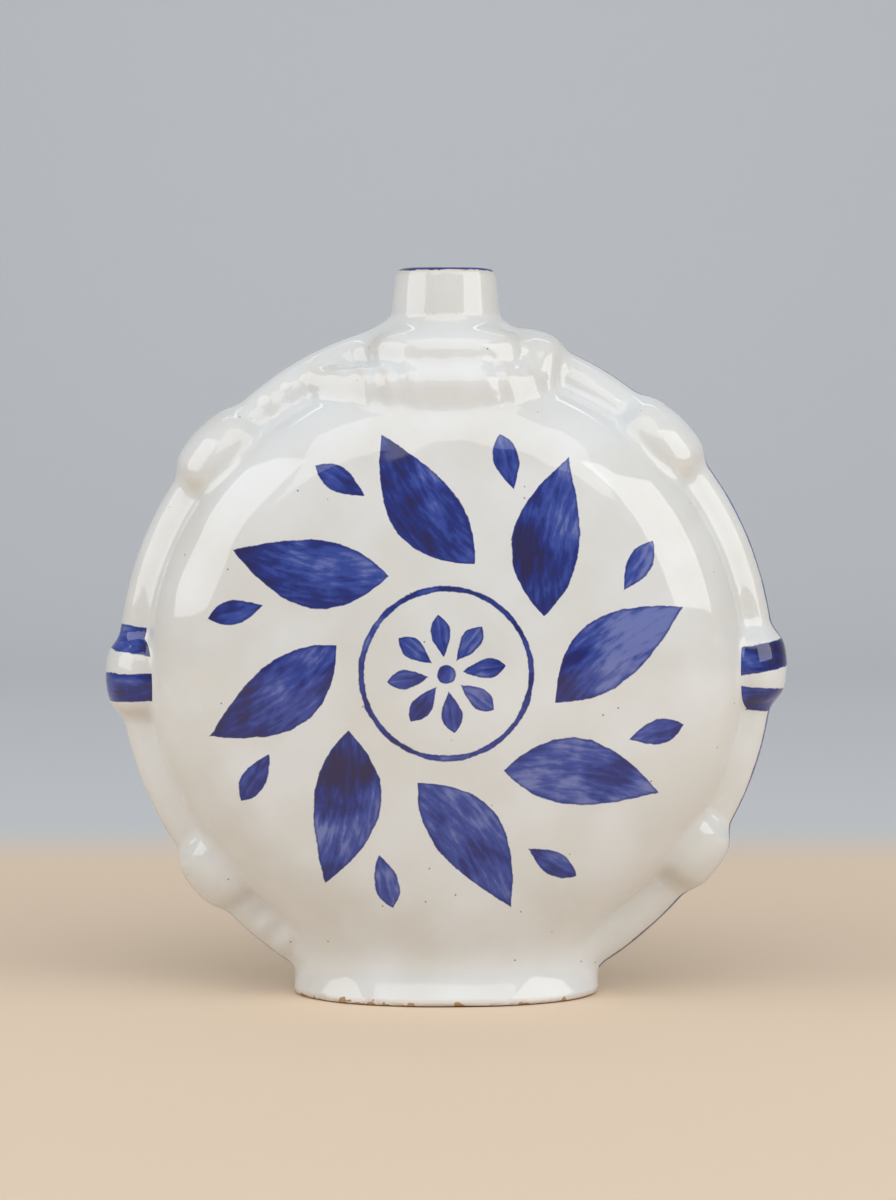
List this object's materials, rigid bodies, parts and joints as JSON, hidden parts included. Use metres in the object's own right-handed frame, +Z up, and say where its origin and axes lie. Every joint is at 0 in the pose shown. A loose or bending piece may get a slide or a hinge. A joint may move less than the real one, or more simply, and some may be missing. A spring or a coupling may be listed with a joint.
{
  "type": "pilgrim flask",
  "caption": "Flat round glazed earthenware pilgrim flask on an oval foot, with a short corked neck bore and a moulded edge strap with beads and a knot.",
  "frame": {"origin": "on the ground, under the centre of the oval foot", "axes": "+Z up along the neck, +X along the wide side, the front face looks along -Y"},
  "size_m": [0.2819, 0.104, 0.3],
  "materials": {
    "body_glaze": "glossy white tin glaze with brushed cobalt painting",
    "neck_glaze": "glossy white tin glaze with a cobalt line on the lip",
    "foot_glaze": "glossy white tin glaze, bare fired clay on the standing edge",
    "strap_glaze": "glossy white tin glaze, thick in the valleys",
    "bead_glaze": "glossy white tin glaze, plain cobalt bands on the middle beads",
    "knot_glaze": "glossy white tin glaze, thick in the folds"
  },
  "bodies": {
    "root": {"front_shell": "body_glaze", "rear_shell": "body_glaze", "neck": "neck_glaze", "foot_ring": "foot_glaze", "left_strap_shoulder": "strap_glaze", "left_strap_upper": "strap_glaze", "left_strap_lower": "strap_glaze", "left_strap_heel": "strap_glaze", "left_bead_upper": "bead_glaze", "left_bead_middle": "bead_glaze", "left_bead_lower": "bead_glaze", "right_strap_shoulder": "strap_glaze", "right_strap_upper": "strap_glaze", "right_strap_lower": "strap_glaze", "right_strap_heel": "strap_glaze", "right_bead_upper": "bead_glaze", "right_bead_middle": "bead_glaze", "right_bead_lower": "bead_glaze", "right_keeper": "bead_glaze", "front_knot_lower_fold": "knot_glaze", "front_knot_upper_fold": "knot_glaze", "rear_knot_lower_fold": "knot_glaze", "rear_knot_upper_fold": "knot_glaze"}
  },
  "joints": []
}
